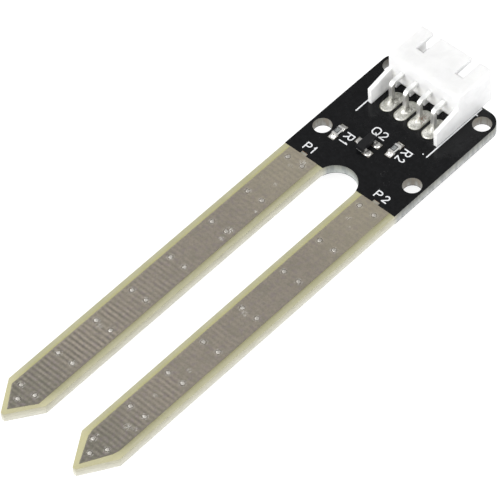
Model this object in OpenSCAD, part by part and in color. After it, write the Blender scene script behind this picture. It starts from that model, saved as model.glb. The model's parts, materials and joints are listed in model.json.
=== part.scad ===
// Two-probe soil moisture sensor: a forked circuit board with a side-entry cable header.
// +X points towards probe 2, +Y towards the header's mouth and +Z out of the component side.
// The origin is the centre of the four mounting holes, on the board's underside.

/* [Board] */
// Length from the probe tips to the header end
board_len = 80; // [74:1:90]
// Width across both probes
board_w = 20; // [19:0.5:24]
// Thickness of the board with its copper, without solder mask
board_t = 1.6; // [1.2:0.2:2]
// Radius of the two corners at the header end
corner_r = 2.2; // [1:0.1:2.6]
// Width of the slot between the probes
slot_w = 6.3; // [5.4:0.1:7]
// Distance from the slot's round end to the near pair of mounting holes
slot_to_holes = 3.3; // [2.6:0.1:4]

/* [Mounting holes] */
// Diameter of the mounting holes
hole_d = 2.75; // [2.2:0.05:3]
// Spacing of the mounting holes across the board
hole_pitch_x = 16.4; // [16:0.1:17]
// Spacing of the mounting holes along the board
hole_pitch_y = 14.4; // [14:0.1:15]
// Distance from the far pair of mounting holes to the header end
hole_to_end = 2.3; // [2.2:0.1:3]

/* [Probes] */
// Length of the pointed end of probe 1
probe_1_point = 4.6; // [3:0.1:6]
// Length of the pointed end of probe 2
probe_2_point = 4.9; // [3:0.1:6]
// Width of each exposed electrode
electrode_w = 4.95; // [4:0.05:5.2]
// Length of the pointed end of electrode 1
electrode_1_point = 3.3; // [2.5:0.1:5]
// Length of the pointed end of electrode 2
electrode_2_point = 4.95; // [2.5:0.05:5.5]
// Length of the kink in the point of electrode 2
electrode_2_kink = 1.05; // [0.5:0.05:1.5]
// Gap from the probe tip to the electrode tip
electrode_tip_gap = 0.95; // [0.6:0.05:1.5]
// Distance from the solder mask's edge to the near pair of mounting holes
mask_to_holes = 5.6; // [5:0.1:7]
// Diameter of the filled vias that stitch the two faces of a probe together
stitch_d = 0.5; // [0.3:0.05:0.6]
// Spacing of the two vias in one row
stitch_gauge = 2.6; // [2:0.1:3]

/* [Layers] */
// Thickness of the plated copper on each face
foil_t = 0.05; // [0.04:0.01:0.06]
// Thickness of the solder mask over the laminate
mask_t = 0.08; // [0.07:0.01:0.1]
// Thickness of the printed legend
silk_t = 0.02; // [0.02:0.01:0.03]
// Width of the printed legend lines
silk_w = 0.2; // [0.15:0.05:0.25]

/* [Header] */
// Spacing of the contact pins
pin_pitch = 2.54; // [2.5:0.01:2.54]
// Side of the square contact pins
pin_w = 0.64; // [0.6:0.02:0.66]
// Distance from the pin row to the origin
pin_row_y = 2.2; // [2:0.1:2.4]
// Overall width of the housing
header_w = 12.6; // [12.4:0.1:13]
// Height of the housing above the board
header_h = 6.1; // [6:0.1:6.6]
// Distance from the pin row to the mouth
mouth_y = 9.2; // [9:0.1:9.6]
// Distance from the pin row to the back wall
back_y = 2.2; // [2.2:0.05:2.4]
// Reach of the side cheeks behind the pin row
cheek_reach = 2.2; // [2:0.1:2.4]
// Thickness of the side cheeks
cheek_t = 0.65; // [0.5:0.05:0.8]
// Height of the cheeks at their free end
cheek_low = 2.8; // [2:0.1:3]
// Height of the cheeks where they meet the back wall
cheek_high = 3.75; // [3.2:0.05:4.5]
// Height of the pins above the seat
pin_h = 3.75; // [3.6:0.05:4]
// Width of the two polarity slots in the top wall
key_w = 1.35; // [1.2:0.05:1.5]
// Length of the two polarity slots
key_len = 3.65; // [2:0.05:4]
// Distance of each polarity slot from the centre line
key_x = 3.53; // [3.4:0.01:3.8]

/* [Chip parts] */
// Length of a chip resistor
chip_len = 1.6; // [1.5:0.05:1.7]
// Width of a chip resistor
chip_w = 0.8; // [0.75:0.05:0.9]
// Height of a chip resistor
chip_h = 0.45; // [0.4:0.05:0.5]
// Length of the transistor's moulded body
body_len = 2.9; // [2.8:0.05:3]
// Width of the transistor's moulded body
body_w = 1.3; // [1.2:0.05:1.4]
// Height of the transistor's moulded body
body_h = 0.95; // [0.9:0.05:1]

/* [Hidden] */
$fn = 48;
overcut = 1;

// Levels above the underside
core_z0 = mask_t;
core_z1 = mask_t + board_t - 2 * foil_t;
copper_top_z = core_z1 + foil_t;
copper_bottom_z = core_z0 - foil_t;
seat_z = core_z1 + mask_t;

// Places along the board
end_y = hole_pitch_y / 2 + hole_to_end;
tip_y = end_y - board_len;
mask_y = -hole_pitch_y / 2 - mask_to_holes;
slot_arc_y = -hole_pitch_y / 2 - slot_to_holes - slot_w / 2;
probe_x = (board_w + slot_w) / 4;
probe_tip_flat = 0.5;
kink_w = 0.27;

// Stitching: rows measured from the probe tips, and the set's small offset from the probe's middle
stitch_rows = [4.9, 11.8, 18.9, 25.6, 33, 41.1, 48.1, 56.1];
stitch_tip_row = 3;
stitch_shift = -0.13;
tab_w = 1.05;
tab_len = 0.45;

// Header
header_ways = 4;
pad_w = 2.05;
pad_len = 4.05;
drill_r = 0.5;
barrel_t = 0.05;
pad_clear = 0.05;
wall_side = 0.8;
wall_top = 0.75;
wall_floor = 0.8;
wall_back = 1.4;
relief_w = 2.3;
relief_h = 1.7;
relief_deep = 1;
bend_r = 0.35;
pin_tip_inset = 0.5;
pin_taper = 0.7;
pin_tip_w = 0.3;
pin_tail = 3.4;
tail_taper = 0.35;
fillet_top_h = 1.25;
fillet_bottom_h = 1.05;
fillet_r = 0.95;
fillet_neck_r = 0.48;
cap_t = 0.12;

// Chip parts: places of their centres, and their pads
r1_pos = [-5.8, -6.72];
r2_pos = [2.2, -4.07];
q_pos = [-1.27, -5.95];
chip_pad = [1.04, 1.05];
chip_pad_y = 0.975;
terminal_len = 0.3;
terminal_t = 0.03;
overcoat_t = 0.02;
solder_film = 0.03;
q_pad = [1.2, 1.05];
q_pad_x = 1.1;
q_lead_y = 0.95;
lead_w = 0.42;
lead_t = 0.12;
lead_exit_z = 0.5;
lead_reach = 1.2;
lead_stub = 0.08;
lead_inner = 0.25;
paddle = [0.5, 1.1];
die_w = 0.36;
die_h = 0.12;
blob_side = 0.16;
blob_h = 0.1;
body_gap = 0.05;
draft = 0.07;

// Tented vias of the probe 2 net
via_a = [5.3, -9.15];
via_b = [3.95, -8.2];
via_ring_r = 0.32;
via_drill_r = 0.2;

// Track routes
track_w = 0.4;
net_p1 = [[probe_x * -1 + stitch_shift, mask_y], [-6.7, -9.8], [r1_pos.x, -8.8],
          [r1_pos.x, r1_pos.y - chip_pad_y]];
net_p2_in = [[probe_x + stitch_shift, mask_y], [6.45, -10.3], via_a];
net_p2_out = [via_b, [2.7, -6.95], [-0.17, -6.95]];
net_supply = [[-3.81, pin_row_y], [-3.81, -4.5], [-2.37, -5.95]];
net_supply_r1 = [[-3.81, -3.9], [r1_pos.x, r1_pos.y + chip_pad_y]];
net_signal = [[-1.27, pin_row_y], [-1.27, -1.6], [0.3, -3.2], [r2_pos.x, r2_pos.y + chip_pad_y]];
net_signal_q = [[0.3, -3.2], [-0.17, -3.8], [-0.17, -4.95]];
net_ground = [[3.81, pin_row_y], [3.81, -3.6], [r2_pos.x, r2_pos.y - chip_pad_y]];

function pin_x(i) = (i - (header_ways - 1) / 2) * pin_pitch;

// ---------- shared outlines ----------

module stadium(width, length) {
    square([width, length - width], center = true);
    for (s = [-1, 1])
        translate([0, s * (length - width) / 2]) circle(d = width);
}

module stroke(a, b, width) {
    run = b - a;
    translate(a) circle(d = width);
    translate(b) circle(d = width);
    translate(a) rotate(atan2(run.y, run.x)) translate([0, -width / 2]) square([norm(run), width]);
}

module track(points, width = track_w) {
    for (i = [0 : len(points) - 2])
        stroke(points[i], points[i + 1], width);
}

// The fork with its two pointed probes, up to where the rear corners begin to round
module fork_2d() {
    shoulder_1 = tip_y + probe_1_point;
    shoulder_2 = tip_y + probe_2_point;
    rear = end_y - corner_r;
    flat = probe_tip_flat / 2;
    polygon([[-board_w / 2, shoulder_1], [-probe_x - flat, tip_y], [-probe_x + flat, tip_y],
             [-slot_w / 2, shoulder_1], [slot_w / 2, shoulder_2], [probe_x - flat, tip_y],
             [probe_x + flat, tip_y], [board_w / 2, shoulder_2], [board_w / 2, rear], [-board_w / 2, rear]]);
}

module board_2d() {
    difference() {
        union() {
            fork_2d();
            translate([-board_w / 2 + corner_r, end_y - corner_r - overcut])
                square([board_w - 2 * corner_r, corner_r + overcut]);
            for (s = [-1, 1])
                translate([s * (board_w / 2 - corner_r), end_y - corner_r]) circle(r = corner_r);
        }
        translate([-slot_w / 2, tip_y - overcut]) square([slot_w, slot_arc_y - tip_y + overcut]);
        translate([0, slot_arc_y]) circle(d = slot_w);
        mounting_holes_2d();
    }
}

module mounting_holes_2d() {
    for (sx = [-1, 1], sy = [-1, 1])
        translate([sx * hole_pitch_x / 2, sy * hole_pitch_y / 2]) circle(d = hole_d);
}

module header_holes_2d(radius) {
    for (i = [0 : header_ways - 1])
        translate([pin_x(i), pin_row_y]) circle(r = radius);
}

module header_pads_2d(grow = 0) {
    for (i = [0 : header_ways - 1])
        translate([pin_x(i), pin_row_y]) stadium(pad_w + 2 * grow, pad_len + 2 * grow);
}

module signal_vias_2d(radius) {
    for (place = [via_a, via_b])
        translate(place) circle(r = radius);
}

module stitches_2d(side) {
    mid = side * probe_x + stitch_shift;
    for (row = stitch_rows, s = [-1, 1])
        translate([mid + s * stitch_gauge / 2, tip_y + row]) circle(d = stitch_d);
    translate([mid, tip_y + stitch_tip_row]) circle(d = stitch_d);
}

// Right half of an electrode's point, measured from its tip
function electrode_flank(point, kink) =
    concat([[0, 0]], kink > 0 ? [[electrode_w / 2 - kink_w, point - kink]] : [], [[electrode_w / 2, point]]);

module electrode_2d(side, point, kink) {
    mid = side * probe_x;
    half = electrode_w / 2;
    low = tip_y + electrode_tip_gap;
    flank = electrode_flank(point, kink);
    right = [for (p = flank) [mid + p.x, low + p.y]];
    left = [for (i = [len(flank) - 1 : -1 : 1]) [mid - flank[i].x, low + flank[i].y]];
    difference() {
        union() {
            polygon(concat(right, [[mid + half, mask_y], [mid - half, mask_y]], left));
            translate([mid + stitch_shift - tab_w / 2, mask_y - overcut]) square([tab_w, tab_len + overcut]);
        }
        stitches_2d(side);
    }
}

module tabs_2d() {
    for (s = [-1, 1])
        translate([s * probe_x + stitch_shift - tab_w / 2, mask_y - overcut])
            square([tab_w, tab_len + overcut]);
}

module chip_pads_2d(pos, grow = 0) {
    for (s = [-1, 1])
        translate([pos.x, pos.y + s * chip_pad_y])
            square([chip_pad.x + 2 * grow, chip_pad.y + 2 * grow], center = true);
}

module transistor_pads_2d(grow = 0) {
    size = [q_pad.x + 2 * grow, q_pad.y + 2 * grow];
    for (s = [-1, 1])
        translate([q_pos.x + q_pad_x, q_pos.y + s * q_lead_y]) square(size, center = true);
    translate([q_pos.x - q_pad_x, q_pos.y]) square(size, center = true);
}

module part_pads_2d(grow = 0) {
    chip_pads_2d(r1_pos, grow);
    chip_pads_2d(r2_pos, grow);
    transistor_pads_2d(grow);
}

module tracks_top_2d() {
    difference() {
        union() {
            track(net_p1, tab_w - 0.1);
            track(net_p2_in, tab_w - 0.1);
            track(net_p2_out);
            track(net_supply);
            track(net_supply_r1);
            track(net_signal);
            track(net_signal_q);
            track(net_ground, 2 * track_w);
            part_pads_2d();
        }
        header_pads_2d();
        signal_vias_2d(via_ring_r);
        translate([-board_w / 2, mask_y - overcut]) square([board_w, tab_len + overcut]);
    }
}

module tracks_bottom_2d() {
    difference() {
        union() {
            track([via_a, via_b]);
            for (s = [-1, 1])
                translate([s * probe_x + stitch_shift, 0])
                    track([[0, mask_y], [0, mask_y + 1.3]], tab_w - 0.1);
        }
        signal_vias_2d(via_ring_r);
        translate([-board_w / 2, mask_y - overcut]) square([board_w, tab_len + overcut]);
    }
}

module mask_2d() {
    difference() {
        intersection() {
            board_2d();
            translate([-board_w / 2, mask_y]) square([board_w, end_y - mask_y]);
        }
        header_pads_2d(pad_clear);
        tabs_2d();
    }
}

// ---------- board ----------

module fr4_laminate() {
    color("#c9c7a4")
        translate([0, 0, core_z0]) linear_extrude(core_z1 - core_z0) difference() {
            board_2d();
            stitches_2d(-1);
            stitches_2d(1);
            signal_vias_2d(via_drill_r);
            header_holes_2d(drill_r + barrel_t);
        }
}

module solder_mask_top() {
    color("#101214") difference() {
        translate([0, 0, core_z1]) linear_extrude(mask_t) difference() {
            mask_2d();
            part_pads_2d(pad_clear);
        }
        translate([0, 0, core_z1 - overcut]) linear_extrude(foil_t + overcut) {
            tracks_top_2d();
            signal_vias_2d(via_ring_r);
        }
    }
}

module solder_mask_bottom() {
    color("#101214") difference() {
        linear_extrude(mask_t) mask_2d();
        translate([0, 0, copper_bottom_z]) linear_extrude(foil_t + overcut) {
            tracks_bottom_2d();
            signal_vias_2d(via_ring_r);
        }
    }
}

module copper_traces_top() {
    color("#b87333") translate([0, 0, core_z1]) linear_extrude(foil_t) tracks_top_2d();
}

module copper_traces_bottom() {
    color("#b87333") translate([0, 0, copper_bottom_z]) linear_extrude(foil_t) tracks_bottom_2d();
}

module electrode(side, point, kink, z) {
    color("#968c82") translate([0, 0, z]) linear_extrude(foil_t) electrode_2d(side, point, kink);
}

module stitching_vias(side) {
    color("#d8d6cf")
        translate([0, 0, copper_bottom_z]) linear_extrude(copper_top_z - copper_bottom_z) stitches_2d(side);
}

module signal_vias() {
    color("#b87333") for (place = [via_a, via_b])
        translate([place.x, place.y, copper_bottom_z]) {
            cylinder(r = via_ring_r, h = foil_t);
            cylinder(r = via_drill_r, h = copper_top_z - copper_bottom_z);
            translate([0, 0, copper_top_z - copper_bottom_z - foil_t]) cylinder(r = via_ring_r, h = foil_t);
        }
}

module header_plated_holes() {
    color("#cfcdc6") difference() {
        union() {
            translate([0, 0, core_z1]) linear_extrude(foil_t) header_pads_2d();
            translate([0, 0, copper_bottom_z]) linear_extrude(foil_t) header_pads_2d();
            translate([0, 0, copper_bottom_z]) linear_extrude(copper_top_z - copper_bottom_z)
                header_holes_2d(drill_r + barrel_t);
        }
        translate([0, 0, -overcut]) linear_extrude(board_t + 3 * overcut) header_holes_2d(drill_r);
    }
}

module silkscreen_top() {
    line_y0 = -2.2;
    line_y1 = 9.2;
    right_x = header_w / 2 + silk_w / 2;
    left_x = -header_w / 2 - silk_w;
    jog_y = 7.9;
    jog_w = 0.35;
    dot = [right_x - 0.72, line_y0 + 0.1];
    dot_r = 0.11;
    color("white") translate([0, 0, seat_z]) linear_extrude(silk_t) {
        stroke([right_x, line_y0], [right_x, line_y1], silk_w);
        stroke([left_x, line_y0], [left_x, line_y1], silk_w);
        stroke([right_x, jog_y], [right_x + jog_w, jog_y], silk_w);
        translate(dot) circle(r = dot_r);
    }
}

// ---------- header ----------

// Points of an arc round a centre, from one angle through a turn, in degrees
function quarter_turn(centre, radius, from, turn, steps = 8) =
    [for (i = [0 : steps])
        let (a = from + turn * i / steps)
        centre + radius * [cos(a), sin(a)]];

// Side view of a pin: tail, bend and mating leg, worked round from the outside of the bend
module pin_side_profile() {
    half = pin_w / 2;
    tail_z = -pin_tail;
    tip = mouth_y - pin_tip_inset;
    elbow = [half + bend_r, pin_h - half - bend_r];
    outside = quarter_turn(elbow, bend_r + pin_w, 180, -90);
    inside = quarter_turn(elbow, bend_r, 90, 90);
    top_leg = [[tip - pin_taper, pin_h + half], [tip, pin_h + pin_tip_w / 2],
               [tip, pin_h - pin_tip_w / 2], [tip - pin_taper, pin_h - half]];
    tail = [[half, tail_z + tail_taper], [half / 2, tail_z],
            [-half / 2, tail_z], [-half, tail_z + tail_taper]];
    polygon(concat(outside, top_leg, inside, tail));
}

module pin_plan_profile() {
    half = pin_w / 2;
    tip = mouth_y - pin_tip_inset;
    polygon([[-half, -half], [half, -half], [half, tip - pin_taper], [pin_tip_w / 2, tip],
             [-pin_tip_w / 2, tip], [-half, tip - pin_taper]]);
}

module pin_solid() {
    intersection() {
        translate([-pin_w / 2, 0, 0]) rotate([90, 0, 90]) linear_extrude(pin_w) pin_side_profile();
        translate([0, 0, -pin_tail - overcut])
            linear_extrude(pin_tail + header_h + overcut) pin_plan_profile();
    }
}

module header_pin(i) {
    color("#c4c4c0") translate([pin_x(i), pin_row_y, seat_z]) pin_solid();
}

module cheek() {
    root_y = back_y + wall_back;
    translate([-cheek_t / 2, 0, 0]) rotate([90, 0, 90]) linear_extrude(cheek_t)
        polygon([[-cheek_reach, 0], [-cheek_reach, cheek_low], [back_y, cheek_high],
                 [root_y, cheek_high], [root_y, 0]]);
}

module header_housing() {
    cavity_w = header_w - 2 * wall_side;
    cavity_y = back_y + wall_back;
    color("#f4f2ea") translate([0, pin_row_y, seat_z]) difference() {
        union() {
            translate([-header_w / 2, back_y, 0]) cube([header_w, mouth_y - back_y, header_h]);
            for (s = [-1, 1])
                translate([s * (header_w - cheek_t) / 2, 0, 0]) cheek();
        }
        translate([-cavity_w / 2, cavity_y, wall_floor])
            cube([cavity_w, mouth_y - cavity_y + overcut, header_h - wall_floor - wall_top]);
        for (s = [-1, 1])
            translate([s * key_x - key_w / 2, mouth_y - key_len, header_h - wall_top - overcut])
                cube([key_w, key_len + overcut, wall_top + 2 * overcut]);
        for (i = [0 : header_ways - 1])
            translate([pin_x(i) - pin_w / 2, 0, pin_h - pin_w / 2]) cube([pin_w, cavity_y + overcut, pin_w]);
        for (i = [0 : header_ways - 1])
            translate([pin_x(i) - relief_w / 2, back_y - overcut, -overcut])
                cube([relief_w, relief_deep + overcut, relief_h + overcut]);
    }
}

// A cone of solder with a hollow flank, standing on z = 0
module solder_cone(height) {
    steps = 8;
    flank = [for (i = [0 : steps])
        let (a = 90 * i / steps) [fillet_r - (fillet_r - fillet_neck_r) * sin(a), height * (1 - cos(a))]];
    rotate_extrude($fn = 96) polygon(concat([[0, 0]], flank, [[0, height]]));
}

module header_solder_joints() {
    low_z = copper_bottom_z - cap_t;
    color("#c9c9c4") for (i = [0 : header_ways - 1]) translate([pin_x(i), pin_row_y, 0]) difference() {
        union() {
            for (z = [low_z, copper_top_z])
                translate([0, 0, z]) linear_extrude(cap_t) stadium(pad_w - 0.1, pad_len - 0.1);
            translate([0, 0, copper_bottom_z]) cylinder(r = drill_r, h = copper_top_z - copper_bottom_z);
            translate([0, 0, copper_top_z + cap_t]) solder_cone(fillet_top_h);
            translate([0, 0, low_z]) mirror([0, 0, 1]) solder_cone(fillet_bottom_h);
        }
        translate([-pin_w / 2, -pin_w / 2, -pin_tail]) cube([pin_w, pin_w, pin_tail + header_h]);
    }
}

// ---------- chip resistors ----------

module at_chip(pos) {
    translate([pos.x, pos.y, copper_top_z + solder_film]) children();
}

module chip_core() {
    translate([-chip_w / 2, -chip_len / 2 + terminal_t, terminal_t])
        cube([chip_w, chip_len - 2 * terminal_t, chip_h - 2 * terminal_t]);
}

module resistor_body(pos) {
    color("#ecebe4") at_chip(pos) chip_core();
}

module resistor_overcoat(pos) {
    size = [chip_w - 0.06, chip_len - 2 * terminal_len, overcoat_t];
    color("#1d2426") at_chip(pos) translate([-size.x / 2, -size.y / 2, chip_h - terminal_t]) cube(size);
}

module resistor_terminals(pos) {
    color("#c8c8c6") at_chip(pos) difference() {
        for (s = [-1, 1])
            translate([-chip_w / 2, s * (chip_len - terminal_len) / 2 - terminal_len / 2, 0])
                cube([chip_w, terminal_len, chip_h]);
        chip_core();
    }
}

// Solder under a terminal and in a hollow slope from its end face to the pad's edge
module chip_fillet() {
    toe = chip_pad_y + chip_pad.y / 2 - chip_len / 2 - 0.03;
    heel = chip_pad_y - chip_pad.y / 2 + 0.03;
    rise = 0.75 * chip_h;
    width = chip_pad.x - 0.06;
    steps = 6;
    slope = [for (i = [0 : steps])
        let (a = 90 * i / steps) [chip_len / 2 + toe * (1 - sin(a)), solder_film + rise * (1 - cos(a))]];
    translate([-width / 2, 0, 0]) rotate([90, 0, 90]) linear_extrude(width)
        polygon(concat([[heel, 0], [chip_len / 2 + toe, 0]], slope,
                       [[chip_len / 2, solder_film], [heel, solder_film]]));
}

module resistor_solder(pos) {
    color("#cbcbc6") translate([pos.x, pos.y, copper_top_z]) for (turn = [0, 180])
        rotate(turn) chip_fillet();
}

// ---------- transistor ----------

module at_transistor() {
    translate([q_pos.x, q_pos.y, copper_top_z + solder_film]) children();
}

// Side view of a gull-wing lead, from its inner end inside the body to the end of its foot
module lead_profile(inner) {
    top = lead_exit_z + lead_t / 2;
    low = lead_exit_z - lead_t / 2;
    bend_y = body_w / 2 + lead_stub;
    heel_y = bend_y + lead_t;
    polygon([[inner, low], [bend_y, low], [heel_y, 0], [lead_reach, 0],
             [lead_reach, lead_t], [heel_y + 0.75 * lead_t, lead_t], [bend_y + 0.75 * lead_t, top],
             [inner, top]]);
}

module lead(inner, width = lead_w) {
    translate([0, width / 2, 0]) rotate([90, 0, 0]) linear_extrude(width) lead_profile(inner);
}

module base_lead() {
    translate([0, -q_lead_y, 0]) lead(lead_inner);
}

module emitter_lead() {
    translate([0, q_lead_y, 0]) lead(lead_inner);
}

// The collector lead widens inside the body into the paddle that carries the die
module collector_lead() {
    rotate(180) lead(0.3);
    translate([-0.4, -paddle.y / 2, lead_exit_z - lead_t / 2]) cube([paddle.x, paddle.y, lead_t]);
}

module die() {
    translate([-0.3, -die_w / 2, lead_exit_z + lead_t / 2]) cube([die_w, die_w, die_h]);
}

module transistor_body() {
    half_w = body_w / 2;
    half_l = body_len / 2;
    mid_z = lead_exit_z;
    top_z = body_gap + body_h;
    color("#17181a") at_transistor() difference() {
        intersection() {
            translate([0, half_l, 0]) rotate([90, 0, 0]) linear_extrude(body_len)
                polygon([[-half_w + draft, body_gap], [half_w - draft, body_gap], [half_w, mid_z],
                         [half_w - draft, top_z], [-half_w + draft, top_z], [-half_w, mid_z]]);
            translate([-half_w, 0, 0]) rotate([90, 0, 90]) linear_extrude(body_w)
                polygon([[-half_l + draft, body_gap], [half_l - draft, body_gap], [half_l, mid_z],
                         [half_l - draft, top_z], [-half_l + draft, top_z], [-half_l, mid_z]]);
        }
        base_lead();
        emitter_lead();
        collector_lead();
        die();
    }
}

module transistor_solder() {
    color("#cbcbc6") translate([q_pos.x, q_pos.y, copper_top_z]) difference() {
        for (place = [[q_pad_x, -q_lead_y, 0], [q_pad_x, q_lead_y, 0], [-q_pad_x, 0, 180]])
            translate([place.x, place.y, 0]) rotate(place.z) {
                translate([-q_pad.x / 2 + 0.03, -q_pad.y / 2 + 0.03, 0])
                    cube([q_pad.x - 0.06, q_pad.y - 0.06, solder_film]);
                translate([-0.2, -lead_w / 2 - blob_side, 0])
                    cube([0.62, lead_w + 2 * blob_side, solder_film + blob_h]);
            }
        translate([0, 0, solder_film]) {
            base_lead();
            emitter_lead();
            collector_lead();
        }
    }
}

fr4_laminate();
solder_mask_top();
solder_mask_bottom();
copper_traces_top();
copper_traces_bottom();
electrode(-1, electrode_1_point, 0, core_z1);  // electrode_p1_top
electrode(-1, electrode_1_point, 0, copper_bottom_z);  // electrode_p1_bottom
electrode(1, electrode_2_point, electrode_2_kink, core_z1);  // electrode_p2_top
electrode(1, electrode_2_point, electrode_2_kink, copper_bottom_z);  // electrode_p2_bottom
stitching_vias(-1);  // stitching_vias_p1
stitching_vias(1);  // stitching_vias_p2
signal_vias();
header_plated_holes();
silkscreen_top();
header_housing();
header_pin(0);  // header_pin_1
header_pin(1);  // header_pin_2
header_pin(2);  // header_pin_3
header_pin(3);  // header_pin_4
header_solder_joints();
resistor_body(r1_pos);  // resistor_r1_body
resistor_overcoat(r1_pos);  // resistor_r1_overcoat
resistor_terminals(r1_pos);  // resistor_r1_terminals
resistor_solder(r1_pos);  // resistor_r1_solder
resistor_body(r2_pos);  // resistor_r2_body
resistor_overcoat(r2_pos);  // resistor_r2_overcoat
resistor_terminals(r2_pos);  // resistor_r2_terminals
resistor_solder(r2_pos);  // resistor_r2_solder
transistor_body();
color("#c8c8c6") at_transistor() base_lead();  // transistor_base_lead
color("#c8c8c6") at_transistor() emitter_lead();  // transistor_emitter_lead
color("#c8c8c6") at_transistor() collector_lead();  // transistor_collector_lead
color("#5f6670") at_transistor() die();  // transistor_die
transistor_solder();
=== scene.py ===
"""Looks of the soil moisture sensor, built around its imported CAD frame. Lengths are in millimetres."""

import json
import math

import bmesh
import bpy
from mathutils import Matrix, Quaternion, Vector, noise
from mathutils.geometry import delaunay_2d_cdt


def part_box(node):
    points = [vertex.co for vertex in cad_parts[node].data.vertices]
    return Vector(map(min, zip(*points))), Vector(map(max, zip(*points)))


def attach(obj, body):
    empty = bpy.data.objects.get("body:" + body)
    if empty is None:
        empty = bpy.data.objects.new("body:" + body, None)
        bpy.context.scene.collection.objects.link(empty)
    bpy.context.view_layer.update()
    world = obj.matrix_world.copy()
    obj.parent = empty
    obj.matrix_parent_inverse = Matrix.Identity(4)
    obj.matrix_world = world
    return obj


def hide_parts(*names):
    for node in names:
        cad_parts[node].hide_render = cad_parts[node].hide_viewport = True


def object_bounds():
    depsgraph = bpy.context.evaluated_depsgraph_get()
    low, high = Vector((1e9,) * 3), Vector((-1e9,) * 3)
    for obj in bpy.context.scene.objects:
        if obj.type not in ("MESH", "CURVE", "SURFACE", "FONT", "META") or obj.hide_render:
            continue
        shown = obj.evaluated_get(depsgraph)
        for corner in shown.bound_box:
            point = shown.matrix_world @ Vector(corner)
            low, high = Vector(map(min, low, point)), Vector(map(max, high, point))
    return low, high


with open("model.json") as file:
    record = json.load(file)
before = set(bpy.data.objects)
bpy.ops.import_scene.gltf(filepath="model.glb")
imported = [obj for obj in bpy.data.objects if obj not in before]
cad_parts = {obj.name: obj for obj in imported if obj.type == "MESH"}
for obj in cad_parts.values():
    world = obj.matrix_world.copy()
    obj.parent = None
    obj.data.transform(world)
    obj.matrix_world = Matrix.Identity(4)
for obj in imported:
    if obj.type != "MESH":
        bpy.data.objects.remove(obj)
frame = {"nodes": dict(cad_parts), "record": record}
cad_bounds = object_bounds()

MM = 0.001
NODES = frame["nodes"]
# Widths that hold one via and not its neighbour, for the stitching and the signal vias
VIA_REACH = 0.6
SIGNAL_VIA_REACH = 0.8
PROBES = ("p1", "p2")
RESISTORS = ("r1", "r2")
LEADS = ("base", "emitter", "collector")

# Camera: where it looks from, in degrees and millimetres, and what it looks at
CAMERA_AZIMUTH = 46.59
CAMERA_ELEVATION = 51.2
CAMERA_ROLL = -4.48
CAMERA_DISTANCE = 487.35
CAMERA_TARGET = Vector((-0.79, -29.67, 1.6))
CAMERA_LENS = 262.98


# ---------- the frame, in millimetres ----------

def box_mm(node):
    low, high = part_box(node)
    return low / MM, high / MM


def points_mm(node):
    return [vertex.co / MM for vertex in NODES[node].data.vertices]


def island_centres(node, reach):
    """Plan centres of a node's separate round solids, none of them wider than reach."""
    groups = []
    for point in points_mm(node):
        for group in groups:
            if (group[0].xy - point.xy).length < reach:
                group.append(point)
                break
        else:
            groups.append([point])
    centres = []
    for group in groups:
        xs = [point.x for point in group]
        ys = [point.y for point in group]
        centres.append(Vector(((min(xs) + max(xs)) / 2, (min(ys) + max(ys)) / 2)))
    return sorted(centres, key=lambda c: (round(c.y, 2), c.x))


SEAT_Z = box_mm("solder_mask_top")[1].z
MASK_EDGE_Y = box_mm("solder_mask_top")[0].y
FOIL_TOP_Z = box_mm("electrode_p1_top")[1].z
FOIL_BOTTOM_Z = box_mm("electrode_p1_bottom")[0].z
BOARD_LOW, BOARD_HIGH = box_mm("fr4_laminate")
PIN_BOXES = [box_mm(f"header_pin_{number}") for number in (1, 2, 3, 4)]
PIN_W = PIN_BOXES[0][1].x - PIN_BOXES[0][0].x
PIN_XS = [(low.x + high.x) / 2 for low, high in PIN_BOXES]
PIN_ROW_Y = PIN_BOXES[0][0].y + PIN_W / 2
PIN_LEG_Z = PIN_BOXES[0][1].z - PIN_W / 2
# Half the width of the slot between the probes
SLOT_HALF = min(abs(p.x) for p in points_mm("fr4_laminate") if p.y < BOARD_LOW.y + 20 and abs(p.x) > 1)
VIA_CENTRES = [c for probe in PROBES for c in island_centres(f"stitching_vias_{probe}", VIA_REACH)]


# ---------- small maths ----------

def smooth(low, high, value):
    t = min(1.0, max(0.0, (value - low) / (high - low)))
    return t * t * (3 - 2 * t)


def rough_at(x, y, z, scale):
    """Smooth noise between -1 and 1 at a point in millimetres, with features about 1/scale wide."""
    return noise.noise(Vector((x, y, z)) * scale)


def arc(centre, radius, start, end, steps=10):
    return [Vector((centre[0] + radius * math.cos(math.radians(start + (end - start) * i / steps)),
                    centre[1] + radius * math.sin(math.radians(start + (end - start) * i / steps))))
            for i in range(steps + 1)]


def circle(centre, radius, z, steps):
    """A level closed ring of points."""
    turns = [2 * math.pi * i / steps for i in range(steps)]
    return [(centre.x + radius * math.cos(turn), centre.y + radius * math.sin(turn), z) for turn in turns]


# ---------- mesh building ----------

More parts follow.
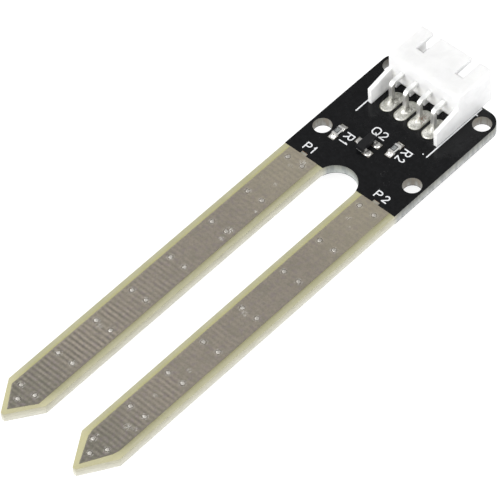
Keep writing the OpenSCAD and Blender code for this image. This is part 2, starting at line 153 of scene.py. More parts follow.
class Shape:
    """Vertices in millimetres and faces with a material index, gathered into one mesh."""

    def __init__(self):
        self.verts = []
        self.faces = []
        self.slots = []
        self.values = {}

    def add(self, verts, faces, slot=0):
        start = len(self.verts)
        self.verts += [Vector(v) for v in verts]
        self.faces += [[start + i for i in face] for face in faces]
        self.slots += [slot] * len(faces)
        return start

    def loft(self, rings, slot=0, cap_first=True, cap_last=True):
        """Joins closed rings of equal length, one after the other, with or without end caps."""
        count = len(rings[0])
        verts = [point for ring in rings for point in ring]
        faces = []
        for r in range(len(rings) - 1):
            for i in range(count):
                j = (i + 1) % count
                faces.append([r * count + i, r * count + j, (r + 1) * count + j, (r + 1) * count + i])
        if cap_first:
            faces.append(list(range(count))[::-1])
        if cap_last:
            faces.append([(len(rings) - 1) * count + i for i in range(count)])
        return self.add(verts, faces, slot)

    def note(self, label, values):
        """Adds the attribute values of the newest vertices."""
        self.values.setdefault(label, []).extend(values)

    def build(self, name, finishes, replaces, smooth_angle):
        mesh = bpy.data.meshes.new(name)
        mesh.from_pydata([v * MM for v in self.verts], [], self.faces)
        for finish in finishes:
            mesh.materials.append(MATERIALS[finish])
        mesh.polygons.foreach_set("material_index", self.slots)
        for label, values in self.values.items():
            layer = mesh.attributes.new(label, "FLOAT", "POINT")
            layer.data.foreach_set("value", values)
        face_outwards(mesh)
        mesh.shade_smooth()
        mesh.set_sharp_from_angle(angle=math.radians(smooth_angle))
        return place(name, mesh, replaces)


def face_outwards(mesh):
    work = bmesh.new()
    work.from_mesh(mesh)
    bmesh.ops.recalc_face_normals(work, faces=work.faces)
    work.to_mesh(mesh)
    work.free()


def place(name, mesh, replaces=()):
    piece = bpy.data.objects.new(name, mesh)
    bpy.context.scene.collection.objects.link(piece)
    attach(piece, "root")
    if replaces:
        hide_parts(*replaces)
    return piece


def capsule(a, b, width, steps=6):
    """Outline of a stroke from a to b with round ends."""
    angle = math.degrees(math.atan2(b.y - a.y, b.x - a.x))
    last_end = arc(b, width / 2, angle - 90, angle + 90, steps)
    first_end = arc(a, width / 2, angle + 90, angle + 270, steps)
    return last_end + first_end


# ---------- materials ----------

# Tones of the bare laminate: its face beside the electrode and at the rim, and its cut walls, with painted
# light from the floor at the foot of the walls, painted shade at their top and painted shade on the walls
# of the head
FR4_INNER_LEFT = (0.41, 0.39, 0.195)
FR4_INNER_RIGHT = (0.275, 0.26, 0.155)
FR4_RIM = (0.43, 0.415, 0.28)
FR4_TIP = (0.56, 0.53, 0.33)
WALL_DARK = (0.43, 0.42, 0.355)
WALL_PALE = (0.54, 0.53, 0.45)
WALL_FIBRE = (0.62, 0.61, 0.55)
WALL_TOP_SHADE_AND_TINT = (0.80, 0.785, 0.69)
WALL_FOOT_FLOOR_LIGHT = (1.08, 1.08, 1.10)
HEAD_WALL_SHADE = 0.34
HEAD_WALL_TINT = (0.885, 0.92, 1.03)
SLOT_END_TINT = (0.98, 1.01, 1.0)

# Tones of the header's nylon: a painted-lit top, painted-shaded sides, and a painted fill that brightens
# its shaded inner faces
NYLON_LIT_TOP = (0.84, 0.84, 0.835)
NYLON_SHADED_SIDE = (0.745, 0.747, 0.75)
NYLON_PAINTED_FILL = (0.97, 0.97, 0.955)

# Tones of the worn tin along an electrode
TIN_MID = (0.57, 0.495, 0.405)
TIN_NECK = (0.675, 0.60, 0.455)
TIN_TIP = (0.28, 0.268, 0.215)
TIN_TAB = (0.68, 0.66, 0.56)


class Surface:
    """A Principled material under construction. Texture coordinates are object space in millimetres."""

    def __init__(self, name, metallic=0.0, **sockets):
        self.material = bpy.data.materials.new(name)
        self.material.use_nodes = True
        self.tree = self.material.node_tree
        self.shader = self.tree.nodes["Principled BSDF"]
        self.shader.inputs["Metallic"].default_value = metallic
        for label, value in sockets.items():
            self.shader.inputs[label.replace("_", " ")].default_value = value
        self.coordinates = self.node("ShaderNodeTexCoord")
        scale = self.node("ShaderNodeVectorMath", {"Scale": 1 / MM}, operation="SCALE")
        self.link(self.coordinates.outputs["Object"], scale.inputs[0])
        self.mm = scale.outputs[0]

    def node(self, kind, inputs=None, **settings):
        made = self.tree.nodes.new(kind)
        for label, value in settings.items():
            setattr(made, label, value)
        for label, value in (inputs or {}).items():
            made.inputs[label].default_value = value
        return made

    def link(self, source, target):
        self.tree.links.new(source, target)

    def feed(self, socket, value):
        if isinstance(value, bpy.types.NodeSocket):
            self.link(value, socket)
        else:
            socket.default_value = value

    def stretched(self, factors, turn=0.0):
        """The millimetre coordinates turned about Z, then multiplied along each axis."""
        mapping = self.node("ShaderNodeMapping", {"Scale": factors, "Rotation": (0, 0, math.radians(turn))})
        self.link(self.mm, mapping.inputs["Vector"])
        return mapping.outputs[0]

    def noise(self, scale, detail=3.0, distortion=0.0, vector=None):
        made = self.node("ShaderNodeTexNoise", {"Scale": scale, "Detail": detail, "Distortion": distortion})
        self.link(vector or self.mm, made.inputs["Vector"])
        return made.outputs["Fac"]

    def cells(self, scale):
        made = self.node("ShaderNodeTexVoronoi", {"Scale": scale})
        self.link(self.mm, made.inputs["Vector"])
        return made.outputs["Distance"]

    def bands(self, scale, direction, distortion):
        inputs = {"Scale": scale, "Distortion": distortion}
        made = self.node("ShaderNodeTexWave", inputs, bands_direction=direction)
        self.link(self.mm, made.inputs["Vector"])
        return made.outputs["Fac"]

    def attribute(self, label):
        return self.node("ShaderNodeAttribute", attribute_name=label).outputs["Fac"]

    def part_of(self, vector, label):
        made = self.node("ShaderNodeSeparateXYZ")
        self.link(vector, made.inputs[0])
        return made.outputs[label]

    def axis(self, label):
        return self.part_of(self.mm, label)

    def facing(self, label):
        """One component of the surface normal, in object space."""
        return self.part_of(self.coordinates.outputs["Normal"], label)

    def maths(self, operation, a, b=0.0):
        made = self.node("ShaderNodeMath", operation=operation)
        self.feed(made.inputs[0], a)
        self.feed(made.inputs[1], b)
        return made.outputs[0]

    def times(self, a, b):
        return self.maths("MULTIPLY", a, b)

    def ramp(self, value, low, high, to_low=0.0, to_high=1.0, curve="SMOOTHSTEP"):
        """Maps low..high to to_low..to_high and holds the ends."""
        made = self.node("ShaderNodeMapRange", interpolation_type=curve)
        self.feed(made.inputs[0], value)
        for index, number in enumerate((low, high, to_low, to_high), start=1):
            made.inputs[index].default_value = number
        return made.outputs[0]

    def mix(self, share, a, b, blend="MIX"):
        made = self.node("ShaderNodeMix", data_type="RGBA", blend_type=blend)
        self.feed(made.inputs[0], share)
        for socket, colour in ((made.inputs[6], a), (made.inputs[7], b)):
            self.feed(socket, colour if isinstance(colour, bpy.types.NodeSocket) else (*colour, 1))
        return made.outputs[2]

    def patches(self, colour, pattern, low, high, strength, tone):
        """Lays a tone over the colour where the pattern rises from low to high."""
        return self.mix(self.ramp(pattern, low, high, 0.0, strength), colour, tone)

    def bump(self, height, depth_mm, after=None):
        """Adds relief of that depth. Returns the normal, to be chained or finished."""
        made = self.node("ShaderNodeBump", {"Strength": 1.0, "Distance": depth_mm * MM})
        self.link(height, made.inputs["Height"])
        if after is not None:
            self.link(after, made.inputs["Normal"])
        return made.outputs[0]

    def finish(self, colour, roughness, normal=None):
        """Feeds the shader and returns the material."""
        self.feed(self.shader.inputs["Base Color"], colour)
        self.feed(self.shader.inputs["Roughness"], roughness)
        if normal is not None:
            self.link(normal, self.shader.inputs["Normal"])
        return self.material


def laminate_material():
    """Woven glass in cream resin: paler at the routed rim, with painted light at the foot and painted shade
    at the top of its cut walls, and painted shade on the walls of the masked head.
    """
    s = Surface("glass_epoxy", Specular_IOR_Level=0.3)
    x = s.maths("ABSOLUTE", s.axis("X"))
    probe_mid = (BOARD_HIGH.x + SLOT_HALF) / 2
    from_mid = s.maths("SUBTRACT", x, probe_mid)
    rim = s.ramp(s.maths("ABSOLUTE", from_mid), 2.5, 3.3)
    right = s.ramp(s.times(from_mid, s.maths("SIGN", s.axis("X"))), -1.0, 1.0)
    weave = s.times(s.bands(0.62, "X", 1.2), s.bands(0.55, "Y", 1.2))
    cloud = s.noise(0.5, 4)
    streak = s.noise(1.0, 3, 0.3, s.stretched((2.2, 0.35, 1.0)))
    face = s.mix(rim, s.mix(right, FR4_INNER_LEFT, FR4_INNER_RIGHT), FR4_RIM)
    face = s.patches(face, weave, 0.1, 0.9, 0.12, (0.50, 0.49, 0.34))
    face = s.patches(face, cloud, 0.35, 0.7, 0.35, (0.33, 0.325, 0.18))
    face = s.patches(face, streak, 0.5, 0.75, 0.3, (0.47, 0.45, 0.36))
    face = s.mix(s.ramp(s.axis("Y"), BOARD_LOW.y + 4, BOARD_LOW.y + 8, 0.6, 0.0), face, FR4_TIP)
    layers = s.noise(1.0, 3, 0.4, s.stretched((0.5, 0.5, 9.0)))
    wall = s.mix(s.ramp(layers, 0.35, 0.65), WALL_DARK, WALL_PALE)
    fibres = s.noise(1.0, 2, 0.0, s.stretched((7.0, 7.0, 2.0)))
    wall = s.patches(wall, fibres, 0.55, 0.75, 0.3, WALL_FIBRE)
    z = s.axis("Z")
    # Painted light from the floor on the foot of the cut walls, and painted shade that darkens and yellows
    # their top
    wall = s.mix(1.0, wall, s.mix(s.ramp(z, 0.1, 1.6), WALL_FOOT_FLOOR_LIGHT, WALL_TOP_SHADE_AND_TINT), "MULTIPLY")
    head = s.ramp(s.axis("Y"), MASK_EDGE_Y - 0.3, MASK_EDGE_Y + 0.8)
    streaks = s.noise(1.0, 2, 0.3, s.stretched((1.7, 1.7, 0.35)))
    # Painted shade on the cut walls of the masked head, with darker streaks
    head_wall_shaded = s.mix(HEAD_WALL_SHADE, wall, (0.10, 0.105, 0.105))
    head_wall_shaded = s.mix(s.ramp(streaks, 0.38, 0.6, 0.45, 0.0), head_wall_shaded, (0.13, 0.135, 0.13))
    # Painted light from the floor at the foot of the head walls, painted shade at their top
    head_wall_shaded = s.mix(1.0, head_wall_shaded, s.ramp(z, 0.3, 1.6, 1.22, 0.68, "LINEAR"), "MULTIPLY")
    head_wall_shaded = s.mix(1.0, head_wall_shaded, HEAD_WALL_TINT, "MULTIPLY")
    in_slot = s.ramp(x, SLOT_HALF, SLOT_HALF + 0.5, 1.0, 0.0)
    head_wall_shaded = s.mix(in_slot, head_wall_shaded, s.mix(1.0, head_wall_shaded, SLOT_END_TINT, "MULTIPLY"))
    bore = s.times(near_mounting_hole(s), s.ramp(streaks, 0.3, 0.6, 0.65, 0.2))
    head_wall_shaded = s.mix(bore, head_wall_shaded, (0.22, 0.18, 0.135))
    wall = s.mix(head, wall, head_wall_shaded)
    flat = s.ramp(s.maths("ABSOLUTE", s.facing("Z")), 0.5, 0.9)
    colour = s.mix(flat, wall, face)
    height = s.mix(flat, s.mix(0.5, fibres, layers), weave)
    return s.finish(colour, s.ramp(cloud, 0.3, 0.7, 0.42, 0.6), s.bump(height, 0.006))


def near_mounting_hole(s):
    """1 on the wall of a mounting hole and 0 away from it."""
    dims = frame["record"]["mounts"][0]["dims"]
    dx = s.maths("SUBTRACT", s.maths("ABSOLUTE", s.axis("X")), dims["spacing_x_mm"] / 2)
    dy = s.maths("SUBTRACT", s.maths("ABSOLUTE", s.axis("Y")), dims["spacing_y_mm"] / 2)
    square = s.maths("ADD", s.times(dx, dx), s.times(dy, dy))
    reach = dims["hole_r_mm"] ** 2
    return s.ramp(square, 1.15 * reach, 1.3 * reach, 1.0, 0.0)


def mask_material():
    """Black solder mask: glossy, with a faint orange peel, dust and fine scratches."""
    s = Surface("black_solder_mask", Specular_IOR_Level=0.22)
    peel = s.noise(2.2, 2)
    grain = s.noise(14.0, 2)
    colour = s.mix(s.ramp(peel, 0.3, 0.7), (0.0035, 0.0037, 0.0042), (0.0065, 0.0067, 0.0075))
    colour = s.patches(colour, s.noise(5.5, 5), 0.69, 0.77, 0.12, (0.10, 0.10, 0.10))
    scratch = s.maths("MAXIMUM", scratches(s, 35, 0.74), scratches(s, -50, 0.75))
    colour = s.mix(s.times(scratch, 0.06), colour, (0.16, 0.16, 0.16))
    roughness = s.ramp(s.noise(0.8, 4), 0.3, 0.7, 0.16, 0.30)
    return s.finish(colour, roughness, s.bump(grain, 0.0012, s.bump(peel, 0.005)))


def electrode_material():
    """Worn tin over copper: warm grey, cooler towards the tips, with ripples and painted shade in their
    troughs, specks and scratches.
    """
    s = Surface("worn_tin", metallic=0.75)
    y = s.axis("Y")
    tip = s.ramp(y, BOARD_LOW.y, BOARD_LOW.y + 18, 1.0, 0.0)
    neck = s.ramp(y, MASK_EDGE_Y - 16, MASK_EDGE_Y - 2)
    cloud = s.noise(0.55, 4, 0.6)
    mottle = s.noise(2.2, 4, 0.3, s.stretched((1.0, 0.6, 1.0)))
    grain = s.noise(11.0, 3)
    colour = s.mix(neck, TIN_MID, TIN_NECK)
    colour = s.mix(tip, colour, TIN_TIP)
    colour = s.patches(colour, cloud, 0.42, 0.66, 0.38, (0.30, 0.285, 0.22))
    colour = s.patches(colour, mottle, 0.44, 0.68, 0.4, (0.62, 0.55, 0.47))
    colour = s.patches(colour, s.noise(4.2, 4, 0.4), 0.46, 0.68, 0.4, (0.29, 0.27, 0.225))
    colour = s.patches(colour, s.noise(1.7, 3, 0.2), 0.5, 0.66, 0.5, (0.43, 0.355, 0.375))
    colour = s.patches(colour, s.noise(2.3, 3, 0.5), 0.52, 0.68, 0.4, (0.36, 0.365, 0.28))
    colour = s.patches(colour, grain, 0.5, 0.7, 0.4, (0.24, 0.225, 0.19))
    colour = s.mix(s.times(neck, 0.4), colour, TIN_NECK)
    colour = s.mix(s.ramp(y, MASK_EDGE_Y, MASK_EDGE_Y + 0.1), colour, TIN_TAB)
    # Painted shade in the troughs of the ripples
    ripple_trough_shade = s.ramp(s.attribute("ripple"), -1.0, 1.0, 0.72, 0.0, "LINEAR")
    colour = s.mix(ripple_trough_shade, colour, (0.15, 0.14, 0.12))
    colour = s.patches(colour, s.noise(6.5, 2), 0.70, 0.76, 0.4, (0.55, 0.53, 0.50))
    pit = s.ramp(s.cells(3.4), 0.05, 0.12, 0.4, 0.0)
    colour = s.mix(pit, colour, (0.13, 0.12, 0.11))
    scratch = s.maths("MAXIMUM", scratches(s, 62, 0.735), scratches(s, -24, 0.75))
    colour = s.mix(s.times(scratch, 0.4), colour, (0.52, 0.50, 0.47))
    flakes = s.ramp(s.noise(3.6, 3, 0.8, s.stretched((2.2, 0.7, 1.0), 40)), 0.50, 0.57)
    colour = s.mix(s.times(s.attribute("wear"), flakes), colour, (0.95, 0.93, 0.88))
    roughness = s.ramp(s.mix(0.5, cloud, grain), 0.35, 0.65, 0.38, 0.52)
    return s.finish(colour, roughness, s.bump(grain, 0.002, s.bump(mottle, 0.004)))


def scratches(s, turn, threshold):
    """Thin streaks along one direction."""
    streaks = s.noise(1.0, 3, 0.0, s.stretched((0.45, 9.0, 1.0), turn))
    return s.ramp(streaks, threshold, threshold + 0.04)


def pad_material():
    """Tin on the header's plated holes: bright skin with dull, grainy patches."""
    s = Surface("pad_tin", metallic=1.0)
    frost = s.noise(1.6, 4, 0.5)
    grain = s.noise(8.0, 3, 0.2)
    colour = s.mix(s.ramp(frost, 0.35, 0.68), (0.74, 0.73, 0.68), (0.58, 0.57, 0.50))
    colour = s.patches(colour, grain, 0.62, 0.78, 0.55, (0.30, 0.29, 0.26))
    roughness = s.ramp(frost, 0.3, 0.7, 0.3, 0.5)
    return s.finish(colour, roughness, s.bump(grain, 0.012, s.bump(frost, 0.03)))


# Pin index, strength and tone of the mark beside it: dark marks by pins 1 and 2, brown flux by pin 3
PIN_SIDE_MARKS = [(0, 0.7, (0.07, 0.065, 0.06)), (1, 0.6, (0.08, 0.07, 0.06)), (2, 0.75, (0.30, 0.13, 0.07))]


def chip_solder_material():
    """Bright solder of the small parts, dark where its shade attribute says it mirrors the body."""
    s = Surface("chip_solder", metallic=0.85)
    frost = s.noise(1.6, 4, 0.5)
    grain = s.noise(7.0, 3, 0.2)
    colour = s.mix(s.ramp(frost, 0.4, 0.6), (0.90, 0.89, 0.86), (0.58, 0.57, 0.545))
    colour = s.patches(colour, grain, 0.56, 0.72, 0.55, (0.30, 0.29, 0.27))
    colour = s.mix(s.attribute("shade"), colour, (0.07, 0.07, 0.068))
    roughness = s.ramp(frost, 0.3, 0.7, 0.2, 0.4)
    return s.finish(colour, roughness, s.bump(grain, 0.012, s.bump(frost, 0.03)))


def flux_solder_material():
    """Header solder: grainy, with dark specks beside the pins and brown flux on the pad of pin 3."""
    s = Surface("header_solder", metallic=0.9)
    frost = s.noise(1.5, 4, 0.6)
    grain = s.noise(6.5, 3, 0.3)
    grit = s.noise(13.0, 2)
    colour = s.mix(s.ramp(frost, 0.4, 0.62), (0.89, 0.885, 0.835), (0.58, 0.575, 0.52))
    colour = s.patches(colour, grain, 0.52, 0.66, 0.6, (0.36, 0.35, 0.30))
    colour = s.patches(colour, grit, 0.55, 0.66, 0.6, (0.98, 0.98, 0.94))
    from_row = s.maths("ABSOLUTE", s.maths("SUBTRACT", s.axis("Y"), PIN_ROW_Y + 0.2))
    near_y = s.ramp(from_row, 0.3, 1.2, 1.0, 0.0)
    for index, strength, tone in PIN_SIDE_MARKS:
        side = s.maths("ABSOLUTE", s.maths("SUBTRACT", s.axis("X"), PIN_XS[index] + 0.5))
        spot = s.times(s.ramp(side, 0.1, 0.5, 1.0, 0.0), near_y)
        patch = s.times(spot, s.ramp(s.noise(3.2, 3), 0.46, 0.58, 0.0, strength))
        colour = s.mix(patch, colour, tone)
    roughness = s.ramp(frost, 0.3, 0.7, 0.36, 0.55)
    return s.finish(colour, roughness, s.bump(grit, 0.008, s.bump(grain, 0.03, s.bump(frost, 0.04))))


def via_material():
    """Solder that filled a via, each one as bright as its own attribute says."""
    s = Surface("via_solder", metallic=0.8)
    grain = s.noise(12.0, 3, 0.3)
    colour = s.mix(s.attribute("glow"), (0.42, 0.385, 0.33), (0.90, 0.87, 0.81))
    colour = s.patches(colour, grain, 0.46, 0.64, 0.7, (0.36, 0.33, 0.28))
    return s.finish(colour, s.ramp(grain, 0.3, 0.7, 0.3, 0.5), s.bump(grain, 0.012))


def pin_material():
    """Bright tin on drawn wire: faint lines along the wire, and a painted highlight on the upward faces and
    from the bend up.
    """
    s = Surface("plated_pin", metallic=0.75)
    lines = s.noise(1.0, 3, 0.0, s.stretched((16.0, 0.8, 0.8)))
    cloud = s.noise(2.0, 3)
    colour = s.mix(s.ramp(lines, 0.35, 0.7), (0.72, 0.715, 0.69), (0.52, 0.51, 0.49))
    colour = s.patches(colour, cloud, 0.5, 0.75, 0.4, (0.34, 0.33, 0.31))
    # Painted highlight: the upward faces, and the pin from its bend up, are lightened towards white
    upward = s.ramp(s.facing("Z"), 0.3, 0.8)
    bend_z = PIN_LEG_Z - 0.45
    bend_highlight = s.ramp(s.axis("Z"), bend_z, bend_z + 0.4, 0.0, 0.8)
    colour = s.mix(s.maths("MAXIMUM", upward, bend_highlight), colour, (1.0, 1.0, 0.99))
    return s.finish(colour, s.ramp(cloud, 0.3, 0.7, 0.3, 0.45), s.bump(lines, 0.003))


def nylon_material():
    """White nylon: soft, slightly translucent, finely textured by the mould, mottled round the pins, with
    painted light: a lighter top than sides, and its shaded cavity floor and lower rear wall painted
    brighter.
    """
    s = Surface("white_nylon", Specular_IOR_Level=0.35, Subsurface_Weight=0.5, Subsurface_Scale=0.0018)
    s.shader.inputs["Subsurface Radius"].default_value = (1.0, 1.0, 0.95)
    spark = s.noise(9.0, 3)
    flow = s.noise(0.5, 3, 0.8)
    # Painted light: the top lighter than the sides
    colour = s.mix(s.ramp(s.facing("Z"), 0.3, 0.8), NYLON_SHADED_SIDE, NYLON_LIT_TOP)
    low = s.ramp(s.axis("Z"), SEAT_Z + 2.4, SEAT_Z + 4.2, 1.0, 0.0)
    rear = s.ramp(s.facing("Y"), -0.9, -0.5, 1.0, 0.0)
    upward = s.ramp(s.facing("Z"), 0.5, 0.8)
    floor = s.times(upward, s.ramp(s.axis("Z"), SEAT_Z + 1.5, SEAT_Z + 2, 1.0, 0.0))
    low_rear = s.times(low, rear)
    # Painted light: the shaded cavity floor and lower rear wall are brightened
    colour = s.mix(s.maths("MAXIMUM", floor, low_rear), colour, NYLON_PAINTED_FILL)
    colour = s.mix(1.0, colour, s.ramp(flow, 0.3, 0.7, 1.02, 0.96), "MULTIPLY")
    mottle = s.ramp(s.noise(1.3, 4, 0.5), 0.42, 0.62, 0.0, 0.3)
    colour = s.mix(s.times(low_rear, mottle), colour, (0.66, 0.65, 0.60))
    return s.finish(colour, s.ramp(flow, 0.3, 0.7, 0.36, 0.48), s.bump(spark, 0.003, s.bump(flow, 0.02)))


def copper_material():
    """Copper foil, tinned on the upward faces, which show only inside the mask's openings."""
    s = Surface("copper_foil", metallic=1.0)
    grain = s.noise(6.0, 3)
    copper = s.mix(s.ramp(grain, 0.35, 0.7), (0.62, 0.30, 0.16), (0.50, 0.22, 0.11))
    tin = s.mix(s.ramp(grain, 0.35, 0.7), (0.62, 0.61, 0.57), (0.44, 0.43, 0.40))
    colour = s.mix(s.ramp(s.facing("Z"), 0.3, 0.6), copper, tin)
    return s.finish(colour, s.ramp(grain, 0.3, 0.7, 0.28, 0.42), s.bump(grain, 0.003))


def glaze_material():
    """Dark glaze of a chip resistor, with pale streaks where it is thin."""
    s = Surface("resistor_glaze", Specular_IOR_Level=0.6)
    cloud = s.noise(3.0, 3)
    colour = s.mix(s.ramp(cloud, 0.35, 0.7), (0.18, 0.19, 0.19), (0.28, 0.295, 0.29))
    colour = s.patches(colour, s.noise(4.5, 3, 0.6), 0.56, 0.66, 0.6, (0.50, 0.51, 0.50))
    for tag in RESISTORS:
        low, high = box_mm(f"resistor_{tag}_overcoat")
        colour = s.mix(edge_band(s, low, high, 0.13), colour, (0.02, 0.02, 0.022))
    return s.finish(colour, s.ramp(cloud, 0.3, 0.7, 0.12, 0.25), s.bump(cloud, 0.003))


def edge_band(s, low, high, width):
    """1 within a width of the plan edges of a box and 0 elsewhere."""
    depths = []
    for axis, a, b in (("X", low.x, high.x), ("Y", low.y, high.y)):
        from_mid = s.maths("ABSOLUTE", s.maths("SUBTRACT", s.axis(axis), (a + b) / 2))
        depths.append(s.maths("SUBTRACT", (b - a) / 2, from_mid))
    depth = s.maths("MINIMUM", *depths)
    inside = s.maths("GREATER_THAN", depth, -0.05)
    return s.times(inside, s.ramp(depth, 0.6 * width, width, 1.0, 0.0))


def mould_material():
    """Black moulding compound, with a painted highlight along the foot of its near end."""
    s = Surface("mould_compound", Specular_IOR_Level=0.25)
    grain = s.noise(18.0, 3)
    colour = s.mix(s.ramp(grain, 0.3, 0.7), (0.006, 0.006, 0.007), (0.012, 0.012, 0.013))
    foot = s.ramp(s.axis("Z"), FOIL_TOP_Z + 0.14, FOIL_TOP_Z + 0.2, 1.0, 0.0)
    near_end = s.ramp(s.facing("Y"), -0.8, -0.5, 1.0, 0.0)
    # Painted highlight along the foot of the near end
    colour = s.mix(s.times(foot, near_end), colour, (0.42, 0.42, 0.41))
    return s.finish(colour, s.ramp(grain, 0.3, 0.7, 0.42, 0.55), s.bump(grain, 0.004))


def ink_material():
    """White legend ink: a dense, slightly uneven print."""
    s = Surface("legend_ink", Specular_IOR_Level=0.3)
    grain = s.noise(16.0, 3)
    colour = s.mix(s.ramp(grain, 0.4, 0.7), (0.80, 0.81, 0.82), (0.66, 0.67, 0.69))
    return s.finish(colour, s.ramp(grain, 0.3, 0.7, 0.5, 0.7), s.bump(grain, 0.004))


def plain_material(name, light, dark, scale, rough, depth, metallic):
    """Two tones mixed by noise, with matching roughness and relief."""
    s = Surface(name, metallic=metallic)
    grain = s.noise(scale, 4)
    colour = s.mix(s.ramp(grain, 0.35, 0.68), light, dark)
    return s.finish(colour, s.ramp(grain, 0.3, 0.7, rough, rough + 0.15), s.bump(grain, depth))


# Tones, grain per millimetre, roughness, relief in millimetres and metallic share of the plain finishes
PLAIN_FINISHES = {
    # The vias' dark rim: flux, with painted shade round the cap
    "via_rim_flux_and_shade": ((0.13, 0.12, 0.10), (0.26, 0.235, 0.20), 5.0, 0.4, 0.004, 0.6),
    "alumina": ((0.86, 0.86, 0.84), (0.74, 0.74, 0.72), 12.0, 0.45, 0.004, 0.0),
    "chip_terminal": ((0.92, 0.91, 0.89), (0.66, 0.65, 0.63), 9.0, 0.25, 0.006, 0.8),
    "lead_tin": ((0.74, 0.73, 0.71), (0.54, 0.53, 0.51), 8.0, 0.22, 0.005, 1.0),
    "silicon": ((0.10, 0.11, 0.13), (0.16, 0.17, 0.20), 20.0, 0.15, 0.001, 0.6),
}

MATERIALS = {name: plain_material(name, *finish) for name, finish in PLAIN_FINISHES.items()}
MATERIALS.update({
    "fr4": laminate_material(),
    "mask": mask_material(),
    "electrode": electrode_material(),
    "header_solder": flux_solder_material(),
    "chip_solder": chip_solder_material(),
    "via_solder": via_material(),
    "pad_tin": pad_material(),
    "pin": pin_material(),
    "nylon": nylon_material(),
    "ink": ink_material(),
    "copper": copper_material(),
    "glaze": glaze_material(),
    "mould": mould_material(),
})


def node_looks():
    """Finish of each CAD node that stays in view, and its edge rounding in millimetres, 0 for none."""
    looks = {
        "fr4_laminate": ("fr4", 0.04),
        "solder_mask_top": ("mask", 0),
        "solder_mask_bottom": ("mask", 0),
        "copper_traces_top": ("copper", 0),
        "copper_traces_bottom": ("copper", 0),
        "signal_vias": ("copper", 0),
        "header_plated_holes": ("pad_tin", 0),
        "silkscreen_top": ("ink", 0),
        "header_housing": ("nylon", 0.12),
        "transistor_body": ("mould", 0.05),
        "transistor_die": ("silicon", 0),
    }
    for number in (1, 2, 3, 4):
        looks[f"header_pin_{number}"] = ("pin", 0.06)
    for tag in RESISTORS:
        looks[f"resistor_{tag}_body"] = ("alumina", 0.03)
        looks[f"resistor_{tag}_overcoat"] = ("glaze", 0.008)
        looks[f"resistor_{tag}_terminals"] = ("chip_terminal", 0.012)
    for lead in LEADS:
        looks[f"transistor_{lead}_lead"] = ("lead_tin", 0.025)
    return looks


def finish_cad_nodes():
    for node, (finish, rounding) in node_looks().items():
        mesh = NODES[node].data
        mesh.materials.clear()
        mesh.materials.append(MATERIALS[finish])
        if rounding:
            soften_edges(NODES[node], rounding)


def soften_edges(piece, width):
    """Joins the CAD mesh's split faces and rounds its sharp edges, all by modifiers."""
    if "custom_normal" in piece.data.attributes:
        piece.data.attributes.remove(piece.data.attributes["custom_normal"])
    piece.data.shade_smooth()
    weld = piece.modifiers.new("weld", "WELD")
    weld.merge_threshold = 0.0005 * MM
    flat = piece.modifiers.new("flat", "DECIMATE")
    flat.decimate_type = "DISSOLVE"
    flat.angle_limit = math.radians(0.5)
    bevel = piece.modifiers.new("edges", "BEVEL")
    bevel.width = width * MM
    bevel.segments = 3
    bevel.limit_method = "ANGLE"
    bevel.angle_limit = math.radians(28)
    bevel.harden_normals = True
    piece.modifiers.new("normals", "WEIGHTED_NORMAL")


# ---------- electrodes ----------

RIPPLE_PITCH = 0.762
RIPPLE_DEPTH = 0.005
PLATE_COLUMNS = 26
PLATE_ROW_STEP = 0.085
PLATE_RIM = 0.12
PLATE_RIM_DROP = 0.02
PLATE_SWELL = 0.003

# Worn places on the electrodes: plan position and radius in millimetres, and strength
SCUFFS = [
    (-5.1, -29.0, 0.8, 0.9), (-5.0, -30.7, 0.5, 0.8), (-4.7, -24.3, 0.35, 0.8), (-8.4, -19.3, 0.3, 0.7),
    (-6.0, -19.2, 0.5, 0.5), (-5.7, -13.8, 0.7, 0.9), (-6.6, -15.4, 0.5, 0.5), (-7.0, -52.0, 0.8, 0.4),
    (5.2, -64.8, 0.3, 1.0), (7.2, -61.3, 0.8, 0.6), (8.2, -60.9, 0.5, 0.6), (6.4, -55.4, 0.4, 0.7),
    (5.5, -17.0, 0.5, 0.7), (6.7, -18.2, 0.5, 0.4), (7.0, -49.5, 0.5, 0.5), (6.1, -38.0, 0.7, 0.5),
]


def ripple_strength(x, y):
    """How much of the glass weave prints through the foil: most at the tips, and more on probe 1."""
    if x < 0:
        return 0.14 + 0.3 * smooth(-34, -41, y) + 0.36 * smooth(-44, -54, y)
    return 0.08 + 0.14 * smooth(-34, -42, y) + 0.42 * smooth(-48, -56, y)


def ripple_at(x, y):
    """Height between -1 and 1 of the crosswise waves that the weave leaves in the tin."""
    wander = 0.35 * math.sin(0.4 * y) + 0.5 * rough_at(x, y, 3.0, 0.8)
    wave = math.sin(2 * math.pi * y / RIPPLE_PITCH + wander)
    cross = math.sin(2 * math.pi * x / (0.8 * RIPPLE_PITCH) + rough_at(x, y, 6.0, 0.5))
    patchy = 0.85 + 0.75 * rough_at(x, y, 9.0, 0.5) + 0.4 * rough_at(x, y, 14.0, 1.5)
    return (wave + 0.18 * cross) * patchy * ripple_strength(x, y)


def wear_at(x, y):
    """Between 0 and 1, how rubbed the tin is: in the worn places and round the filled vias."""
    rubbed = max(strength * (1 - smooth(0.3 * radius, radius, math.hypot(x - cx, y - cy)))
                 for cx, cy, radius, strength in SCUFFS)
    near = min(math.hypot(x - centre.x, y - centre.y) for centre in VIA_CENTRES)
    return max(rubbed, 0.7 * (1 - smooth(0.25, 0.7, near)))


